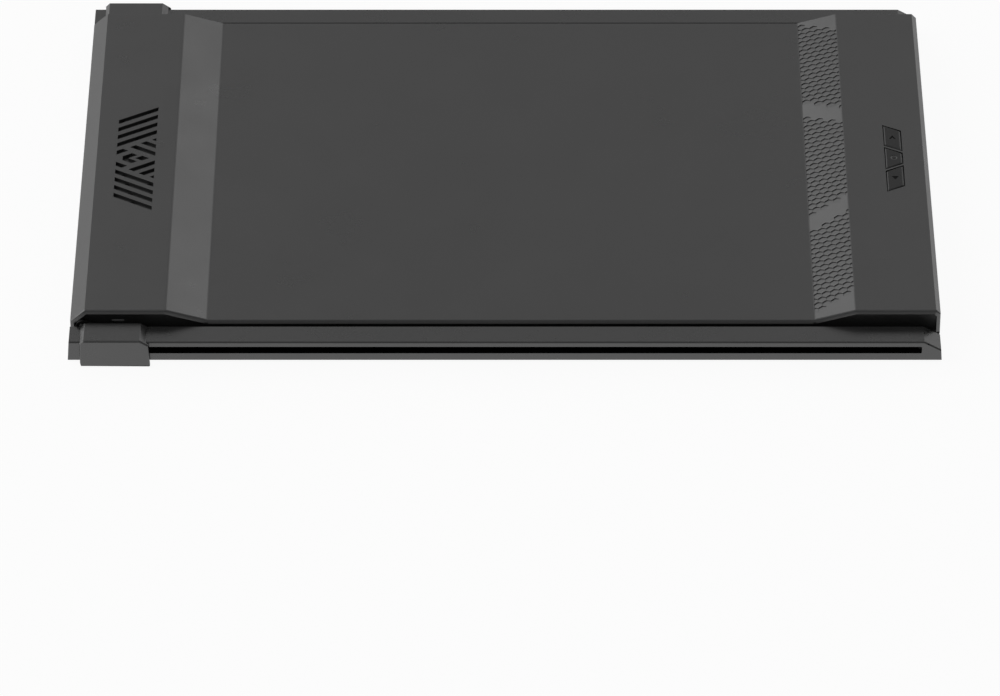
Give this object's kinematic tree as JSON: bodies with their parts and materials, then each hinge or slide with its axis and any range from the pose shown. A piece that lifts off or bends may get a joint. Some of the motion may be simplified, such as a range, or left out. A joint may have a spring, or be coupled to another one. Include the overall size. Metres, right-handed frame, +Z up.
{
  "type": "laptop screen extender",
  "caption": "Slim slide-out second monitor in a shallow tray that clips behind a laptop lid, with saddles on guide rails, a fold-over hinge, slanted vents and slanted buttons.",
  "frame": {"origin": "middle of the footprint, on the surface that the pads rest on", "axes": "+X along the slide, from the hinged end to the free end; +Y to the rear; +Z up, away from the laptop lid"},
  "size_m": [0.333, 0.2262, 0.0166],
  "materials": {
    "housing_black": "fine matte texture",
    "rail_black": "fine matte texture",
    "bezel_black": "fine matte texture",
    "key_black": "satin",
    "rubber_black": "soft matte",
    "felt": "short pile",
    "steel_dark": "black zinc",
    "steel_plain": "plain",
    "magnet_nickel": "nickel plate",
    "slide_polymer": "low-friction polymer",
    "brass": "plain",
    "screen_glass": "anti-glare panel",
    "film_white": "optical film",
    "guide_clear": "clear acrylic",
    "aluminium": "mill",
    "foam": "foam",
    "board_green": "solder mask",
    "chip_black": "moulded",
    "thermal_grey": "soft",
    "cable_film": "polyimide",
    "light_pipe": "frosted"
  },
  "bodies": {
    "tray": {"tray_plate": "rail_black", "front_rail": "rail_black", "rear_rail": "rail_black", "tray_screws": "steel_dark", "rail_bumpers": "rubber_black", "felt_strips": "felt", "tray_magnets": "magnet_nickel", "mounting_pads": "rubber_black"},
    "carriage": {"front_saddle": "housing_black", "rear_saddle": "housing_black", "front_glide_shoe": "slide_polymer", "rear_glide_shoe": "slide_polymer", "front_hinge_arm": "steel_dark", "rear_hinge_arm": "steel_dark", "saddle_screws": "steel_plain", "crossbar": "steel_dark", "crossbar_glides": "slide_polymer", "hinge_pins": "steel_plain", "hinge_nuts": "steel_plain"},
    "screen": {"rear_cover": "housing_black", "front_bezel": "bezel_black", "bezel_screws": "steel_dark", "panel_glass": "screen_glass", "diffuser_sheet": "film_white", "light_guide": "guide_clear", "reflector_sheet": "film_white", "led_strip": "film_white", "panel_chassis": "aluminium", "panel_cushions": "foam", "main_board": "board_green", "board_chips": "chip_black", "thermal_pads": "thermal_grey", "heat_sink": "aluminium", "vent_mesh": "bezel_black", "board_screws": "steel_plain", "status_light_pipe": "light_pipe", "panel_cable": "cable_film", "side_cable": "cable_film", "side_board": "board_green", "tact_switches": "steel_plain", "plug_sockets": "steel_plain", "front_hinge_bracket": "steel_plain", "rear_hinge_bracket": "steel_plain", "hinge_washers": "brass", "hinge_screws": "steel_plain"},
    "key_up": {"button_up": "key_black"},
    "key_select": {"button_select": "key_black"},
    "key_down": {"button_down": "key_black"}
  },
  "joints": [
    {"name": "carriage_slide", "type": "slide", "parent": "tray", "child": "carriage", "axis": [1, 0, 0], "range_m": [0, 0.298]},
    {"name": "screen_hinge", "type": "hinge", "parent": "carriage", "child": "screen", "pos_m": [-0.1612, 0, 0.0108], "axis": [0, -1, 0], "range_deg": [0, 180]},
    {"name": "up_press", "type": "slide", "parent": "screen", "child": "key_up", "axis": [0, 0, -1], "range_m": [0, 0.0003], "stiffness_N_per_m": 800},
    {"name": "select_press", "type": "slide", "parent": "screen", "child": "key_select", "axis": [0, 0, -1], "range_m": [0, 0.0003], "stiffness_N_per_m": 800},
    {"name": "down_press", "type": "slide", "parent": "screen", "child": "key_down", "axis": [0, 0, -1], "range_m": [0, 0.0003], "stiffness_N_per_m": 800}
  ]
}
